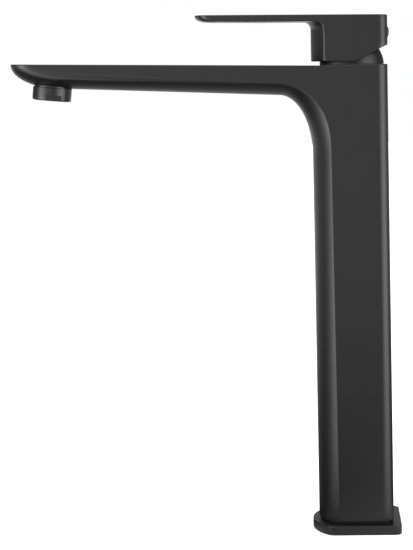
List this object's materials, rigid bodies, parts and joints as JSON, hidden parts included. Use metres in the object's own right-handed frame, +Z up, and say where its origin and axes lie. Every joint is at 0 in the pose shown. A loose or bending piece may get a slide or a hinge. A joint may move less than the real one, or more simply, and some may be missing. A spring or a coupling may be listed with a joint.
{
  "type": "tall single-lever basin mixer",
  "caption": "Tall black single-lever basin mixer: bowed D-shaped column on a small plate, long flat spout with a tilted aerator, and a block lever with a thin paddle.",
  "frame": {"origin": "middle of the deck face, on the axis of the column and cartridge", "axes": "+Z up, the spout points along -Y, +X to the right seen from behind the spout"},
  "size_m": [0.057, 0.2438, 0.3305],
  "materials": {
    "black_coat": "satin black powder coat over brass",
    "black_gloss": "smooth semi-gloss black over brass",
    "black_plastic": "smooth black plastic",
    "rubber": "matt black rubber",
    "nylon": "moulded black nylon",
    "limit_plastic": "moulded red plastic",
    "grey_plastic": "moulded dark grey plastic",
    "brass": "machined brass",
    "ceramic": null,
    "steel": "plain stainless steel"
  },
  "bodies": {
    "fixed": {"column_tube": "black_coat", "foot_block": "brass", "head_casting": "black_coat", "base_plate": "black_coat", "deck_gasket": "rubber", "column_gasket": "rubber", "cartridge_nut": "brass", "cap_ring": "rubber", "cap_washer": "nylon", "dome_cap": "black_coat", "cartridge_housing": "nylon", "cartridge_base": "nylon", "base_seals": "rubber", "disc_seals": "rubber", "fixed_disc": "ceramic", "aerator_housing": "black_gloss", "aerator_gasket": "rubber", "aerator_insert": "nylon", "aerator_screen": "steel", "flow_regulator": "limit_plastic", "outlet_grid": "grey_plastic"},
    "rotor": {"spindle_guide": "nylon", "limit_ring": "limit_plastic", "pivot_pin": "steel"},
    "handle": {"spindle": "brass", "lever": "black_coat", "grub_screw": "steel", "index_plug": "black_plastic"},
    "slider": {"disc_carrier": "nylon", "moving_disc": "ceramic"}
  },
  "joints": [
    {"name": "lever_turn", "type": "hinge", "parent": "fixed", "child": "rotor", "pos_m": [0, 0, 0.2963], "axis": [0, 0, 1], "range_deg": [-50, 50]},
    {"name": "lever_lift", "type": "hinge", "parent": "rotor", "child": "handle", "pos_m": [0, 0, 0.2963], "axis": [-1, 0, 0], "range_deg": [0, 25]},
    {"name": "disc_slide", "type": "slide", "parent": "rotor", "child": "slider", "axis": [0, -1, 0], "range_m": [0, 0.0046]}
  ],
  "couplings": [
    {"joint": "disc_slide", "follows": "lever_lift", "m_per_rad": 0.0105}
  ]
}
